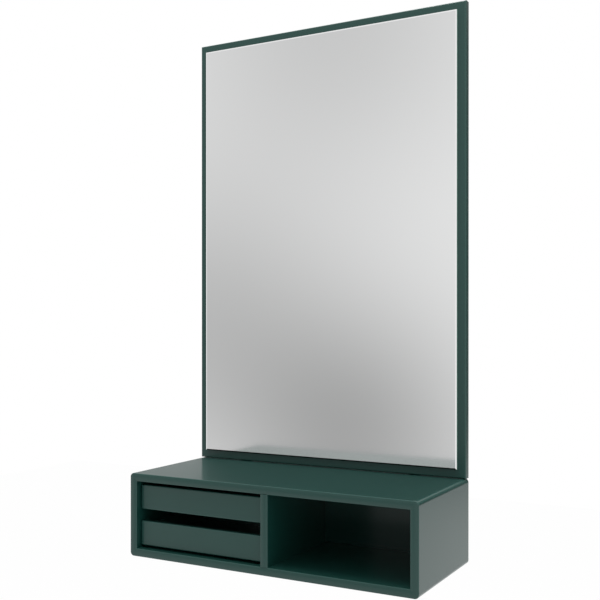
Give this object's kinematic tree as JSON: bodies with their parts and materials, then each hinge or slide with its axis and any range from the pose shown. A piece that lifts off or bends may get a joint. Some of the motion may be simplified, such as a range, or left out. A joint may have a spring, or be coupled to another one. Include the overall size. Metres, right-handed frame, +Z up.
{
  "type": "wall mirror with shelf",
  "caption": "Wall mirror in a slim lacquered panel above a shallow wall cabinet whose top is a shelf, with two sliding tray drawers and an open niche.",
  "frame": {"origin": "middle of the cabinet rail's outer pair of screw holes, on the wall plane", "axes": "+X to the right as seen from the room, +Y into the wall, +Z up"},
  "size_m": [0.468, 0.2, 0.8255],
  "materials": {
    "lacquer": "dark green satin lacquer on fibreboard",
    "mirror": "silvered glass with a polished bevel",
    "aluminium": "plain extruded",
    "steel": "zinc plated",
    "beech": "plain beech",
    "buffer": "soft, dark",
    "bond": "elastic adhesive"
  },
  "bodies": {
    "root": {"back_panel": "lacquer", "bond_strips": "bond", "bottom_panel": "lacquer", "cabinet_cleat": "aluminium", "cabinet_cleat_screws": "steel", "cabinet_wall_rail": "aluminium", "divider": "lacquer", "divider_dowels": "beech", "drawer_buffers": "buffer", "hanging_batten": "lacquer", "left_panel": "lacquer", "link_plates": "steel", "link_screws": "steel", "lower_left_runner": "beech", "lower_right_runner": "beech", "mirror_cleat": "aluminium", "mirror_cleat_screws": "steel", "mirror_glass": "mirror", "mirror_panel": "lacquer", "mirror_wall_rail": "aluminium", "mitre_splines": "beech", "right_panel": "lacquer", "top_panel": "lacquer", "upper_left_runner": "beech", "upper_right_runner": "beech"},
    "upper_drawer": {"upper_drawer_back": "lacquer", "upper_drawer_bottom": "lacquer", "upper_drawer_front": "lacquer", "upper_drawer_left_side": "lacquer", "upper_drawer_right_side": "lacquer"},
    "lower_drawer": {"lower_drawer_back": "lacquer", "lower_drawer_bottom": "lacquer", "lower_drawer_front": "lacquer", "lower_drawer_left_side": "lacquer", "lower_drawer_right_side": "lacquer"}
  },
  "joints": [
    {"name": "upper_drawer_slide", "type": "slide", "parent": "root", "child": "upper_drawer", "axis": [0, -1, 0], "range_m": [0, 0.12]},
    {"name": "lower_drawer_slide", "type": "slide", "parent": "root", "child": "lower_drawer", "axis": [0, -1, 0], "range_m": [0, 0.12]}
  ]
}
